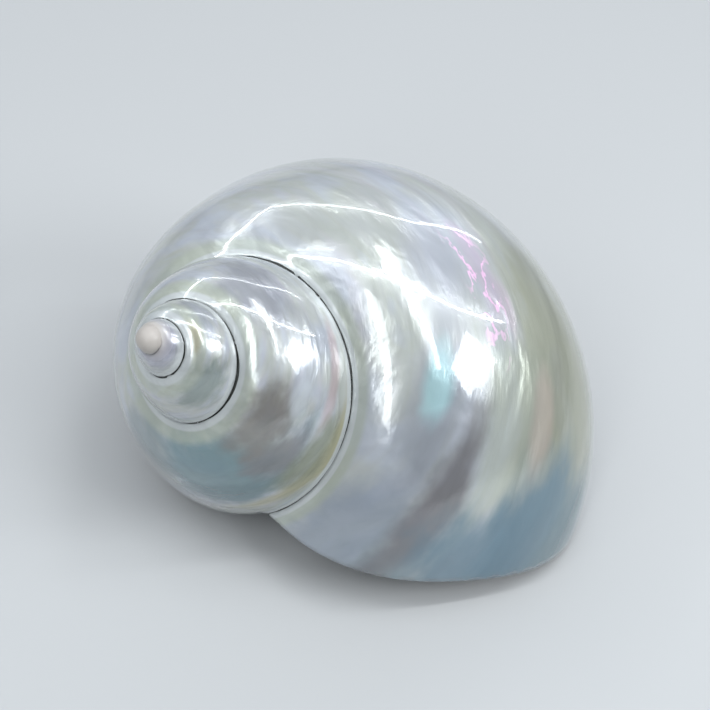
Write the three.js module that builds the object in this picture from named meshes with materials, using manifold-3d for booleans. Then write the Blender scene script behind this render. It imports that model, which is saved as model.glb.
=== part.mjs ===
// A polished turban shell, lying on the floor with its mouth down.
// One solid: a whorl whose oval section grows as it winds down a leaning axis, from a small ball
// at the tip to the open mouth, and hollow behind it. Millimetres, +Z up, origin on the floor
// under the middle of the shell.
import * as THREE from "three";
import { mergeVertices } from "three/addons/utils/BufferGeometryUtils.js";
import Module from "manifold-3d";

const TURN = 2 * Math.PI;
const degrees = (value) => (value * Math.PI) / 180;

// ---- Driving dimensions: millimetres and radians. Angle 0 is where the sizes below hold; the ----
// ---- whorl winds towards larger angles and ends at the lip, about a quarter turn later.      ----
const COIL_RADIUS = 16.5; // shell axis to the middle of the whorl
const COIL_DROP = 39.69; // tip to the middle of the whorl, along the axis
const WHORL_RADIUS = 17.43; // mean radius of the whorl's section
const GROWTH = { perTurn: 0.87, rise: 0.016, dropPower: 0.964 }; // logarithm of the growth per turn
const OVAL = { amount: 0.091, at: 1.143 }; // two-lobed stretch of the section, and its direction
const PEAR = { amount: 0.043, at: 0.484 }; // three-lobed stretch
const LIP_RISE = { amount: 0.141, from: -0.6 }; // how the last part of the whorl climbs
const AXIS_LEAN = -0.155; // sideways lean of the axis
const AXIS_BEND = { x: 0.0002, y: 0.00174 }; // and its curve, per millimetre
const WALL = { lip: 1.3, power: 0.6, glaze: 0.2, corner: 2.6, pillar: 2.6 };
const TIP_ANGLE = -7.8 * Math.PI; // where the first whorl starts
const NUCLEUS = { radius: 1.5, depth: 2.0 }; // the ball it starts from, measured down the axis
const CAVITY_TURNS = 1.25; // how far the hollow runs back from the lip
const CORE_RADIUS = 0.25; // half width of the closed navel

// Planes are given in the shell's own frame, whose +Z points up the axis and whose origin is the tip.
const LIP_PLANE = { turn: degrees(56.7), rise: degrees(27.8), depth: 24.36 };
const FLOOR_PLANE = { turn: degrees(59.11), rise: degrees(38.64) };
const LIP_CORNER = { fromRow: 15, passes: 5 }; // rounds the lip where it turns up the columella
const HEADING = degrees(-5.9); // turn about the vertical: the tip points to -X

// ---- Mesh fineness ----
const COLUMNS = 40; // per turn
const ROWS_SHOWN = 8; // from one suture to the next
const ROWS_BASE = 14; // from there round the base to the axis
const ROWS_COLUMELLA = 4;
const NUCLEUS_SEGMENTS = { around: 24, upwards: 14 };
const CAVITY_END_COLUMNS = 7;
const LAST_ROW = ROWS_SHOWN + ROWS_BASE;
const STEP = TURN / COLUMNS;
const SCAN = 150; // samples in a search along a curve

const clamp01 = (value) => Math.min(Math.max(value, 0), 1);
const smooth = (value) => clamp01(value) ** 2 * (3 - 2 * clamp01(value));
const mix = (a, b, share) => a + (b - a) * share;
const bump = (distance, width) => Math.exp(-((distance / width) ** 2));

// ---- The growth rule ----

function size(angle) {
  const turns = angle / TURN;
  return Math.exp(GROWTH.perTurn * turns + GROWTH.rise * turns * turns);
}

function centre(angle) {
  const grown = size(angle);
  const climb = LIP_RISE.amount * Math.max(0, angle - LIP_RISE.from) ** 2;
  return { r: COIL_RADIUS * grown, z: COIL_DROP * grown ** GROWTH.dropPower - climb };
}

// Radius of the whorl's section in direction psi: 0 points away from the axis, a quarter turn
// points to the base.
function sectionRadius(angle, psi) {
  const oval = OVAL.amount * Math.cos(2 * (psi - OVAL.at));
  const pear = PEAR.amount * Math.cos(3 * (psi - PEAR.at));
  return WHORL_RADIUS * size(angle) * (1 + oval + pear);
}

function section(angle, psi, inset = 0) {
  const middle = centre(angle);
  const radius = sectionRadius(angle, psi) - inset;
  return {
    r: Math.max(CORE_RADIUS, middle.r + radius * Math.cos(psi)),
    z: middle.z + radius * Math.sin(psi),
  };
}

const directionFrom = (middle, point) => Math.atan2(point.z - middle.z, point.r - middle.r);

// How far a point of the section plane lies outside the whorl one turn earlier.
function clearance(angle, point) {
  const middle = centre(angle - TURN);
  const psi = directionFrom(middle, point);
  return Math.hypot(point.r - middle.r, point.z - middle.z) - sectionRadius(angle - TURN, psi);
}

function bisect(low, high, valueAt) {
  const startsPositive = valueAt(low) > 0;
  for (let step = 0; step < 40; step++) {
    const middle = (low + high) / 2;
    if (valueAt(middle) > 0 === startsPositive) low = middle;
    else high = middle;
  }
  return (low + high) / 2;
}

// The direction in which the section leaves the whorl before it: the suture.
const sutureMemory = new Map();
function suture(angle) {
  if (!sutureMemory.has(angle)) sutureMemory.set(angle, findSuture(angle));
  return sutureMemory.get(angle);
}

function findSuture(angle) {
  const first = -0.98 * Math.PI;
  const last = 0.5;
  const gap = (psi) => clearance(angle, section(angle, psi));
  const step = (last - first) / SCAN;
  for (let psi = last - step; psi >= first; psi -= step) {
    if (gap(psi) < 0) return bisect(psi, psi + step, gap);
  }
  throw new Error("the whorls do not touch at " + angle);
}

// The direction in which the section meets the whorl after it.
function nextSuture(angle) {
  const sure = Math.min(angle, lipAngle - TURN);
  return directionFrom(centre(sure), section(sure + TURN, suture(sure + TURN)));
}

function rowDirection(angle, row) {
  const shown = nextSuture(angle);
  if (row <= ROWS_SHOWN) return mix(suture(angle), shown, row / ROWS_SHOWN);
  return mix(shown, Math.PI - 0.02, (row - ROWS_SHOWN) / ROWS_BASE);
}

// ---- From the section plane to the shell's own frame ----

function place(angle, point) {
  const { r, z } = point;
  return new THREE.Vector3(
    r * Math.cos(angle) + AXIS_BEND.x * z * z,
    -r * Math.sin(angle) + AXIS_LEAN * z + AXIS_BEND.y * z * z,
    -z,
  );
}

function planeNormal(plane) {
  const level = Math.cos(plane.rise);
  return new THREE.Vector3(
    level * Math.cos(plane.turn),
    level * Math.sin(plane.turn),
    Math.sin(plane.rise),
  );
}

const lipNormal = planeNormal(LIP_PLANE);
const heightOverLip = (position) => position.dot(lipNormal) + LIP_PLANE.depth;

// The angle at which a line along the whorl runs down into the lip's plane.
function angleAtLip(positionAt) {
  const height = (angle) => heightOverLip(positionAt(angle));
  const step = 0.03;
  for (let angle = -0.35 * Math.PI; angle < 1.2 * Math.PI; angle += step) {
    if (height(angle) > 0 && height(angle + step) <= 0) return bisect(angle, angle + step, height);
  }
  throw new Error("a line along the whorl misses the lip's plane");
}

const lipAngle = angleAtLip((angle) => place(angle, section(angle, suture(angle))));

// ---- The outer face ----

const LAST_COLUMN = Math.round((lipAngle - TIP_ANGLE) / STEP);
const MOUTH_COLUMN = LAST_COLUMN - COLUMNS; // one turn before the lip: the mouth's inner side
const columnAngle = (column) => lipAngle - (LAST_COLUMN - column) * STEP;

// Growth lines slant more and more until the last one lies in the lip's plane.
const SLANT_TURN = 0.8 * TURN;
const slantShare = (angle) => smooth((angle - lipAngle + SLANT_TURN) / SLANT_TURN);

function slantsOf(sectionAt) {
  let slants = [];
  for (let row = 0; row <= LAST_ROW; row++) {
    slants.push(angleAtLip((angle) => place(angle, sectionAt(angle, row))) - lipAngle);
  }
  for (let pass = 0; pass < LIP_CORNER.passes; pass++) {
    slants = slants.map((slant, row) => {
      if (row < LIP_CORNER.fromRow || row === LAST_ROW) return slant;
      return (slants[row - 1] + 2 * slant + slants[row + 1]) / 4;
    });
  }
  return slants;
}

const outerSlant = slantsOf((angle, row) => section(angle, rowDirection(angle, row)));

function outerPoint(column, row) {
  const straight = columnAngle(column);
  const angle = straight + outerSlant[row] * slantShare(straight);
  return place(angle, section(angle, rowDirection(angle, row)));
}

// ---- The hollow: a smaller section inside the whorl, kept clear of the whorl before it ----

function wallAt(angle, row) {
  const share = row / LAST_ROW;
  const nearSuture = bump(share, 0.1) * (WALL.corner - WALL.lip);
  const nearPillar = bump(1 - share, 0.14) * (WALL.pillar - WALL.lip);
  return (WALL.lip + nearSuture + nearPillar) * size(angle - lipAngle) ** WALL.power;
}

const innerSection = (angle, row) => {
  const psi = rowDirection(angle, row);
  return section(angle, psi, wallAt(angle, row));
};

const innerSlant = slantsOf(innerSection);

// On the mouth's inner side the wall is the whorl before, under a thin glaze.
function glazedSection(angle, row) {
  const middle = centre(angle);
  const before = section(angle - TURN, rowDirection(angle - TURN, row));
  const share = (row - ROWS_SHOWN) / ROWS_BASE;
  const corner = bump(share, 0.14) * WALL.corner + bump(1 - share, 0.2) * WALL.pillar;
  const lift = WALL.glaze + corner * size(angle - lipAngle) ** WALL.power;
  const psi = directionFrom(middle, before);
  const reach = Math.hypot(before.r - middle.r, before.z - middle.z) - lift;
  return { r: middle.r + reach * Math.cos(psi), z: middle.z + reach * Math.sin(psi) };
}

function innerRing(column) {
  const straight = columnAngle(column);
  const share = slantShare(straight);
  const ring = [];
  for (let row = 0; row <= LAST_ROW; row++) {
    const angle = straight + innerSlant[row] * share;
    ring.push(place(angle, innerSection(angle, row)));
  }
  const above = [];
  for (let row = LAST_ROW; row > ROWS_SHOWN; row--) {
    above.push(place(straight, glazedSection(straight, row)));
  }
  for (let step = 1; step < ROWS_COLUMELLA; step++) {
    ring.push(ring[LAST_ROW].clone().lerp(above[0], step / ROWS_COLUMELLA));
  }
  return ring.concat(above);
}

function middleOf(points) {
  const sum = new THREE.Vector3();
  for (const point of points) sum.add(point);
  return sum.divideScalar(points.length);
}

// ---- Building the closed mesh ----

const positions = [];
const faces = [];

function addPoint(point) {
  positions.push(point);
  return positions.length - 1;
}

// Joins two lines of points that run the same way; where they share a point nothing is added.
function strip(lineA, lineB) {
  let a = 0;
  let b = 0;
  while (a < lineA.length - 1 || b < lineB.length - 1) {
    const nextA = (a + 1) / (lineA.length - 1);
    const nextB = (b + 1) / (lineB.length - 1);
    const advanceA = b === lineB.length - 1 || (a < lineA.length - 1 && nextA <= nextB);
    const third = advanceA ? lineA[++a] : lineB[++b];
    const pair = advanceA ? [lineA[a - 1], lineB[b]] : [lineA[a], lineB[b - 1]];
    if (pair[0] !== pair[1] && third !== pair[0] && third !== pair[1]) {
      faces.push([pair[0], pair[1], third]);
    }
  }
}

function fan(loop, tip) {
  loop.forEach((point, index) => faces.push([point, tip, loop[(index + 1) % loop.length]]));
}

const outerGrid = [];
for (let column = 0; column <= LAST_COLUMN; column++) outerGrid.push([]);
for (let column = LAST_COLUMN; column >= 0; column--) {
  const rows = column >= MOUTH_COLUMN ? LAST_ROW : ROWS_SHOWN;
  for (let row = 0; row <= rows; row++) {
    const shared = row === ROWS_SHOWN && column + COLUMNS <= LAST_COLUMN;
    outerGrid[column][row] = shared
      ? outerGrid[column + COLUMNS][0]
      : addPoint(outerPoint(column, row));
  }
}
for (let column = 0; column < LAST_COLUMN; column++) {
  const rows = column >= MOUTH_COLUMN ? LAST_ROW + 1 : ROWS_SHOWN + 1;
  strip(outerGrid[column].slice(0, rows), outerGrid[column + 1].slice(0, rows));
}

// The start of the first whorl is closed by a fan, inside the ball that covers it.
const nucleus = addPoint(place(0, { r: 0, z: NUCLEUS.depth }));
function closeStart() {
  const loop = outerGrid[0].slice(0, ROWS_SHOWN + 1);
  for (let column = COLUMNS - 1; column > 0; column--) loop.push(outerGrid[column][0]);
  fan(loop.reverse(), nucleus);
}
closeStart();

// The columella: the line down the axis on the mouth's side, and the ribbon that closes the navel.
const lineStart = outerGrid[MOUTH_COLUMN][LAST_ROW];
const lineEnd = outerGrid[LAST_COLUMN][LAST_ROW];
const columella = [lineStart];
for (let step = 1; step < ROWS_COLUMELLA; step++) {
  const share = step / ROWS_COLUMELLA;
  columella.push(addPoint(positions[lineStart].clone().lerp(positions[lineEnd], share)));
}
columella.push(lineEnd);
const navel = [];
for (let column = MOUTH_COLUMN; column <= LAST_COLUMN; column++) {
  navel.push(outerGrid[column][LAST_ROW]);
}
strip(columella, navel);

// The mouth's outer edge: down the lip, back up the columella, up the inner side to the suture.
const mouth = [...outerGrid[LAST_COLUMN], ...columella.slice(1, -1).reverse()];
for (let row = LAST_ROW; row > ROWS_SHOWN; row--) mouth.push(outerGrid[MOUTH_COLUMN][row]);

function buildHollow() {
  const deepest = LAST_COLUMN - Math.round(CAVITY_TURNS * COLUMNS);
  let outside = mouth;
  for (let column = LAST_COLUMN; column > deepest; column--) {
    const ring = innerRing(column);
    const middle = middleOf(ring);
    const depth = clamp01((column - deepest) / CAVITY_END_COLUMNS);
    const narrow = Math.sqrt(1 - (1 - depth) ** 2);
    const loop = ring.map((point) => addPoint(middle.clone().lerp(point, narrow)));
    strip([...outside, outside[0]], [...loop, loop[0]]);
    outside = loop;
  }
  fan(outside, addPoint(middleOf(innerRing(deepest))));
}
buildHollow();

// ---- One solid, standing on the floor ----

function turnToFloor() {
  const up = new THREE.Vector3(0, 0, 1);
  const toFloor = new THREE.Quaternion().setFromUnitVectors(planeNormal(FLOOR_PLANE), up);
  const heading = new THREE.Quaternion().setFromAxisAngle(up, HEADING);
  for (const point of positions) point.applyQuaternion(toFloor).applyQuaternion(heading);
}
turnToFloor();

const manifold = await Module();
manifold.setup();

function solidOf(coordinates, indices) {
  const vertProperties = new Float32Array(coordinates);
  const triVerts = new Uint32Array(indices);
  return new manifold.Manifold(new manifold.Mesh({ numProp: 3, vertProperties, triVerts }));
}

function whorlSolid() {
  const coordinates = positions.flatMap((point) => point.toArray());
  const solid = solidOf(coordinates, faces.flat());
  return solid.volume() > 0 ? solid : solidOf(coordinates, faces.map(([a, b, c]) => [a, c, b]).flat());
}

function nucleusSolid() {
  const { around, upwards } = NUCLEUS_SEGMENTS;
  const ball = new THREE.SphereGeometry(NUCLEUS.radius, around, upwards);
  ball.deleteAttribute("normal");
  ball.deleteAttribute("uv");
  ball.translate(...positions[nucleus].toArray());
  const merged = mergeVertices(ball);
  return solidOf(merged.attributes.position.array, merged.index.array);
}

function closedGeometry() {
  const solid = whorlSolid().add(nucleusSolid()).getMesh();
  const geometry = new THREE.BufferGeometry();
  geometry.setAttribute("position", new THREE.BufferAttribute(solid.vertProperties, 3));
  geometry.setIndex(new THREE.BufferAttribute(solid.triVerts, 1));
  geometry.computeBoundingBox();
  const middle = geometry.boundingBox.getCenter(new THREE.Vector3());
  geometry.translate(-middle.x, -middle.y, -geometry.boundingBox.min.z);
  geometry.computeVertexNormals();
  return geometry;
}

const pearl = new THREE.MeshStandardMaterial({ color: 0xc9cccb, roughness: 0.18, metalness: 0 });
const shell = new THREE.Mesh(closedGeometry(), pearl);
shell.name = "shell";

const part = new THREE.Group();
part.add(shell);
export default part;
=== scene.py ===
# %% [markdown]
# # A polished turban shell
# A turban shell is one long tube that a sea snail grows. The tube coils around a slightly bent
# axis, gets wider at a steady rate, and each turn leans on the turn before it. This one has been
# ground down to its mother-of-pearl and polished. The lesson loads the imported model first, as a
# fixed frame that everything else is fitted to.

# %% Load the frame
import math
import bpy
import numpy as np
from mathutils import Matrix, Vector


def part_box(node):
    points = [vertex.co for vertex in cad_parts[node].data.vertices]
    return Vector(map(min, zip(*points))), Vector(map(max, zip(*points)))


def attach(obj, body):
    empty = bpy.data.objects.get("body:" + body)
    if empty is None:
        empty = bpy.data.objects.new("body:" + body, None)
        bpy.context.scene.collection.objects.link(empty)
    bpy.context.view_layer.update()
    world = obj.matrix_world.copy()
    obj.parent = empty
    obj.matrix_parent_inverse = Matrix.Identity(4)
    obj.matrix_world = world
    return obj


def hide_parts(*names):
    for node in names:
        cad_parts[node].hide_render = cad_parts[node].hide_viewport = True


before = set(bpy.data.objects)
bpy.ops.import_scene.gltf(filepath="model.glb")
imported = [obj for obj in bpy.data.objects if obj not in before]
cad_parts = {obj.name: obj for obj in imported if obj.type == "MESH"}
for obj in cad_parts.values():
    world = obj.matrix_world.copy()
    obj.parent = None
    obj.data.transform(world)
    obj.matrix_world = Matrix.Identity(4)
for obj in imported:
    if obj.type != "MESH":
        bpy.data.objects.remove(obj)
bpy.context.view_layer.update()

SHELL_BOX = [Vector(corner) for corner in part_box("shell")]
MM = 0.001
TURN = 2 * math.pi
print("the frame's shell runs from", SHELL_BOX[0], "to", SHELL_BOX[1])

# %% [markdown]
# ## The growth rule
# The snail's opening is an oval that sits beside the axis. As the angle round the axis grows, the
# oval grows by a constant factor per turn and slides down the axis. That one rule gives the whole
# spire, so the sizes are kept together in one table. The same table names the inputs of the
# Geometry Nodes tree further down. Lengths are in millimetres and angles in radians.

# %% Sizes of the growth rule
RULE = {
    "Coil Radius": 16.5,        # axis to the middle of the tube, at angle zero
    "Coil Drop": 39.69,         # tip to the middle of the tube, along the axis
    "Tube Radius": 17.43,       # mean radius of the tube
    "Growth": 0.87,             # logarithm of the growth in one turn
    "Growth Rise": 0.016,
    "Drop Power": 0.964,
    "Oval": 0.091,              # two-lobed stretch of the section, and its direction
    "Oval Direction": 1.143,
    "Pear": 0.043,              # three-lobed stretch
    "Pear Direction": 0.484,
    "Lip Climb": 0.141,         # how the last part of the tube climbs
    "Lip Climb From": -0.6,
    "Lean": -0.155,             # sideways lean of the axis
    "Bend X": 0.0002,           # and its curve, per millimetre
    "Bend Y": 0.00174,
    "Nucleus Radius": 1.5,      # the tiny ball that the shell starts from
    "Nucleus Depth": 2.0,
}
CORE_RADIUS = 0.25              # half width of the closed navel


def size(angle):
    turns = angle / TURN
    return np.exp(RULE["Growth"] * turns + RULE["Growth Rise"] * turns**2)


def centre(angle):
    grown = size(angle)
    climb = RULE["Lip Climb"] * np.maximum(0, angle - RULE["Lip Climb From"]) ** 2
    return RULE["Coil Radius"] * grown, RULE["Coil Drop"] * grown ** RULE["Drop Power"] - climb


def section_radius(angle, facing):
    oval = RULE["Oval"] * np.cos(2 * (facing - RULE["Oval Direction"]))
    pear = RULE["Pear"] * np.cos(3 * (facing - RULE["Pear Direction"]))
    return RULE["Tube Radius"] * size(angle) * (1 + oval + pear)


def section(angle, facing, inset=0.0):
    middle_r, middle_z = centre(angle)
    radius = section_radius(angle, facing) - inset
    r = np.maximum(CORE_RADIUS, middle_r + radius * np.cos(facing))
    return r, middle_z + radius * np.sin(facing)


def place(angle, r, z):
    x = r * np.cos(angle) + RULE["Bend X"] * z * z
    y = -r * np.sin(angle) + RULE["Lean"] * z + RULE["Bend Y"] * z * z
    return np.stack([x, y, -z], axis=-1)


print("the tube grows", round(float(size(TURN) / size(0.0)), 2), "times in the last turn")

# %% [markdown]
# ## Where the turns touch
# The line where one turn meets the turn before it is called the suture. On each section the tube
# is followed from its outer side upwards until it dips into the turn before: that direction is the
# suture's. It is worked out for many angles at once and kept as a table.

# %% Find the sutures
TIP_ANGLE = -7.8 * math.pi
TABLE = np.linspace(TIP_ANGLE - 0.2, 0.6 * math.pi, 3000)


def clearance(angle, r, z):
    middle_r, middle_z = centre(angle - TURN)
    facing = np.arctan2(z - middle_z, r - middle_r)
    return np.hypot(r - middle_r, z - middle_z) - section_radius(angle - TURN, facing)


def find_sutures(angles):
    scan = np.linspace(0.5, -0.98 * math.pi, 400)
    touching = clearance(angles[:, None], *section(angles[:, None], scan[None])) < 0
    first = touching.argmax(axis=1)
    above, below = scan[first - 1], scan[first]
    for _ in range(30):
        middle = (above + below) / 2
        free = clearance(angles, *section(angles, middle)) > 0
        above, below = np.where(free, middle, above), np.where(free, below, middle)
    return above


SUTURES = find_sutures(TABLE)


def suture(angle):
    return np.interp(angle, TABLE, SUTURES)


print("suture directions run from", SUTURES.min().round(2), "to", SUTURES.max().round(2))

# %% [markdown]
# ## The lip
# The last growth line is the lip, and it lies flat in one plane. A growth line starts out square
# to the tube and slants more and more until it reaches that plane, so each row of points round
# the tube has its own slant.

# %% Rows round the tube and the lip's plane
COLUMNS = 240                   # points in one turn
ROWS_SHOWN = 48                 # from one suture to the next
ROWS_BASE = 48                  # from there round the base to the axis
BASE_END = math.pi - 0.02       # the last row's direction, just short of the axis
LAST_ROW = ROWS_SHOWN + ROWS_BASE
STEP = TURN / COLUMNS
COARSE_SHOWN, COARSE_BASE = 8, 14   # the frame's own rows, which the wall's shares are counted in
LIP_PLANE = {"turn": math.radians(56.7), "rise": math.radians(27.8), "depth": 24.36}
FLOOR_PLANE = {"turn": math.radians(59.11), "rise": math.radians(38.64)}
HEADING = math.radians(-5.9)


def plane_normal(plane):
    level = math.cos(plane["rise"])
    return Vector((level * math.cos(plane["turn"]), level * math.sin(plane["turn"]),
                   math.sin(plane["rise"])))


def height_over_lip(points):
    return points @ np.array(plane_normal(LIP_PLANE)) + LIP_PLANE["depth"]


def crossing(angles, heights):
    """The angle at which a line along the tube first runs down into the lip's plane."""
    last_above = np.nonzero((heights[:-1] > 0) & (heights[1:] <= 0))[0][0]
    high, low = heights[last_above], heights[last_above + 1]
    return angles[last_above] + (angles[last_above + 1] - angles[last_above]) * high / (high - low)


SEARCH = np.linspace(-0.35 * math.pi, 0.6 * math.pi, 2000)
LIP_ANGLE = crossing(SEARCH, height_over_lip(place(SEARCH, *section(SEARCH, suture(SEARCH)))))
LAST_COLUMN = round((LIP_ANGLE - TIP_ANGLE) / STEP)
MOUTH_COLUMN = LAST_COLUMN - COLUMNS
print("the lip meets the suture at", round(LIP_ANGLE / math.pi, 3), "pi;", LAST_COLUMN, "columns")


def next_suture(angle):
    """The direction in which the section meets the turn after it."""
    sure = np.minimum(angle, LIP_ANGLE - TURN)
    middle_r, middle_z = centre(sure)
    r, z = section(sure + TURN, suture(sure + TURN))
    return np.arctan2(z - middle_z, r - middle_r)


CROWDING = 0.88                 # 0 spaces the rows evenly, 1 brings the end rows together


def close_at_ends(share):
    """Rows crowd together towards both sutures, where the finest relief is."""
    return share - CROWDING * np.sin(TURN * share) / TURN


SHOWN_SHARE = close_at_ends(np.arange(ROWS_SHOWN + 1) / ROWS_SHOWN)
BASE_SHARE = np.arange(ROWS_BASE + 1) / ROWS_BASE


def row_direction(angle, row):
    shown = next_suture(angle)
    start = suture(angle)
    upper = start + (shown - start) * SHOWN_SHARE[np.minimum(row, ROWS_SHOWN)]
    lower = shown + (BASE_END - shown) * BASE_SHARE[np.maximum(row - ROWS_SHOWN, 0)]
    return np.where(row <= ROWS_SHOWN, upper, lower)


def smooth(value):
    value = np.clip(value, 0, 1)
    return value * value * (3 - 2 * value)


def bump(distance, width):
    return np.exp(-((distance / width) ** 2))


def slants(section_at):
    """How far each row's crossing lies from the suture's, rounded where the lip turns up."""
    found = np.array([crossing(SEARCH, height_over_lip(place(SEARCH, *section_at(SEARCH, row))))
                      for row in range(LAST_ROW + 1)]) - LIP_ANGLE
    first = ROWS_SHOWN + ROWS_BASE // 2
    for _ in range(5 * (ROWS_BASE // COARSE_BASE) ** 2):
        found[first:-1] = (found[first - 1:-2] + 2 * found[first:-1] + found[first + 1:]) / 4
    return found


SLANT_TURN = 0.8 * TURN


def slanted(straight, row, slant):
    return straight + slant[row] * smooth((straight - LIP_ANGLE + SLANT_TURN) / SLANT_TURN)


outer_slant = slants(lambda angle, row: section(angle, row_direction(angle, row)))
print("the lip's lowest point lies", round(outer_slant.min() / math.pi, 3), "pi before its top")

# %% [markdown]
# ## The hollow
# Behind the mouth the tube is hollow. Its wall is thin at the lip, thicker at the corner under the
# suture and along the pillar, and thins towards the older turns. On the mouth's inner side the
# wall is the turn before, under a thin glaze.

# %% Wall thickness and the ring of points round the hollow
WALL = {"lip": 1.3, "power": 0.6, "glaze": 0.2, "corner": 2.6, "pillar": 2.6}
CAVITY_TURNS = 1.25
PILLAR_ROWS = 6
RING_ROWS = np.arange(0, LAST_ROW + 1, 2)
GLAZE_ROWS = np.arange(LAST_ROW, ROWS_SHOWN, -2)


def girth(row):
    """Share of the way round the tube, counted in the frame's own rows."""
    shown = SHOWN_SHARE[np.minimum(row, ROWS_SHOWN)] * COARSE_SHOWN
    base = BASE_SHARE[np.maximum(row - ROWS_SHOWN, 0)] * COARSE_BASE
    return (shown + base) / (COARSE_SHOWN + COARSE_BASE)


def wall_at(angle, row):
    corner = bump(girth(row), 0.1) * (WALL["corner"] - WALL["lip"])
    pillar = bump(1 - girth(row), 0.14) * (WALL["pillar"] - WALL["lip"])
    return (WALL["lip"] + corner + pillar) * size(angle - LIP_ANGLE) ** WALL["power"]


def inner_section(angle, row):
    return section(angle, row_direction(angle, row), wall_at(angle, row))


inner_slant = slants(inner_section)


def glazed_section(angle, row):
    middle_r, middle_z = centre(angle)
    r, z = section(angle - TURN, row_direction(angle - TURN, row))
    share = BASE_SHARE[row - ROWS_SHOWN]
    corner = bump(share, 0.14) * WALL["corner"] + bump(1 - share, 0.2) * WALL["pillar"]
    lift = WALL["glaze"] + corner * size(angle - LIP_ANGLE) ** WALL["power"]
    facing = np.arctan2(z - middle_z, r - middle_r)
    reach = np.hypot(r - middle_r, z - middle_z) - lift
    return middle_r + reach * np.cos(facing), middle_z + reach * np.sin(facing)


def chart(angle, r, z):
    """Rows of (angle, r, z): where points lie in their section planes."""
    return np.stack(np.broadcast_arrays(angle, r, z), axis=-1)


def ring_at(straight, inner=True):
    """One closed ring of the hollow; inner=False gives the outside's ring at the mouth."""
    slant = inner_slant if inner else outer_slant
    angle = slanted(straight, RING_ROWS, slant)
    wall = wall_at(angle, RING_ROWS) if inner else 0.0
    outer_side = chart(angle, *section(angle, row_direction(angle, RING_ROWS), wall))
    if inner:
        inner_side = chart(straight, *glazed_section(straight, GLAZE_ROWS))
    else:
        before = slanted(straight - TURN, GLAZE_ROWS, slant)
        inner_side = chart(before, *section(before, row_direction(before, GLAZE_ROWS)))
        inner_side[:, 0] += TURN
    share = (np.arange(1, PILLAR_ROWS) / PILLAR_ROWS)[:, None]
    pillar = outer_side[-1] + (inner_side[0] - outer_side[-1]) * share
    return np.concatenate([outer_side, pillar, inner_side])


print("a ring of the hollow has", len(ring_at(LIP_ANGLE)), "points")

# %% [markdown]
# ## Relief along the suture
# Grinding and polishing leave the two turns nearly flush: the valley between them is filled on both
# sides, a fine crack runs along it, and a soft ridge shows where the filled strip ends. They go
# into the chart as small shifts, measured along the surface in millimetres from the suture.

# %% The outside of the shell as a grid of points
NO_SUTURE = 99.0                # a distance in millimetres too long to matter
columns = np.arange(LAST_COLUMN + 1)
straight_angle = LIP_ANGLE - (LAST_COLUMN - columns) * STEP
rows = np.arange(LAST_ROW + 1)
grid_angle = slanted(straight_angle[:, None], rows[None], outer_slant)
grid_r, grid_z = section(grid_angle, row_direction(grid_angle, rows[None]))
grid_points = place(grid_angle, grid_r, grid_z)

along_rows = np.linalg.norm(np.diff(grid_points, axis=1), axis=2)
from_above = np.concatenate([np.zeros((LAST_COLUMN + 1, 1)), np.cumsum(along_rows, axis=1)], axis=1)
to_below = np.abs(from_above[:, [ROWS_SHOWN]] - from_above)
to_below[:, ROWS_SHOWN + 1:] = NO_SUTURE
to_below[MOUTH_COLUMN + 1:] = NO_SUTURE     # the last turn has no turn below it
from_edge = np.minimum(from_above, to_below)
print("the longest growth line measures", round(float(from_above.max()), 1), "mm")

# %% Fill the valley, cut the crack and raise the ridge
GROOVE = {"depth": 0.10, "width": 0.13}
FILLING = {"height": 0.32, "width": 1.3}
RIDGE = {"height": 0.03, "at": 2.6, "width": 0.5}


def out_of_valley(angle):
    """The way out of the valley between the turn at this angle and the turn before it."""
    newer, older = suture(angle), next_suture(angle - TURN)
    r, z = np.cos(newer) + np.cos(older), np.sin(newer) + np.sin(older)
    return r / np.hypot(r, z), z / np.hypot(r, z)


newer_angle = np.where(from_above <= to_below, grid_angle, grid_angle + TURN)
fade = np.clip(size(newer_angle), 0.12, 1.0) ** 0.7
started = smooth((newer_angle - TIP_ANGLE - 0.5) / 3.0)
filling = FILLING["height"] * fade * bump(from_edge, FILLING["width"] * fade)
groove = GROOVE["depth"] * (0.4 + 0.6 * fade) * bump(from_edge, GROOVE["width"])
valley_r, valley_z = out_of_valley(newer_angle)
from_ridge = from_above - RIDGE["at"] * fade
ridge = RIDGE["height"] * fade * bump(from_ridge, RIDGE["width"] * fade) * started
facing = row_direction(grid_angle, rows[None])
grid_r = grid_r + (filling - groove) * started * valley_r + ridge * np.cos(facing)
grid_z = grid_z + (filling - groove) * started * valley_z + ridge * np.sin(facing)
print("the valley is filled by up to", float(filling.max()), "mm")

# %% [markdown]
# ## One closed mesh
# The chart becomes one closed mesh. Its points hold the angle along the tube, the direction round
# it and the depth under its surface in place of x, y and z, and the tree below turns them into a
# shell. Next to the suture two turns share one line of points, so there is no gap between them.

# %% Collect the points
TIP_TURNS = -3.9                # what counts as the turns grown on the nucleus
chart_rows, edge_mm, ramp_mm, grown_turns, hollow_share = [], [], [], [], []


def add_points(new_chart, edge=9.0, ramp=9.0, turns=None, hollow=0.0):
    """Adds rows of (angle, r, z) with what the material needs to know, and gives their numbers."""
    count = len(new_chart)
    start = sum(len(rows) for rows in chart_rows)
    chart_rows.append(np.asarray(new_chart, float))
    turns = new_chart[:, 0] / TURN if turns is None else turns
    for values, new in ((edge_mm, edge), (ramp_mm, ramp), (grown_turns, turns),
                        (hollow_share, hollow)):
        values.append(np.broadcast_to(new, count).astype(float))
    return np.arange(start, start + count)


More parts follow.
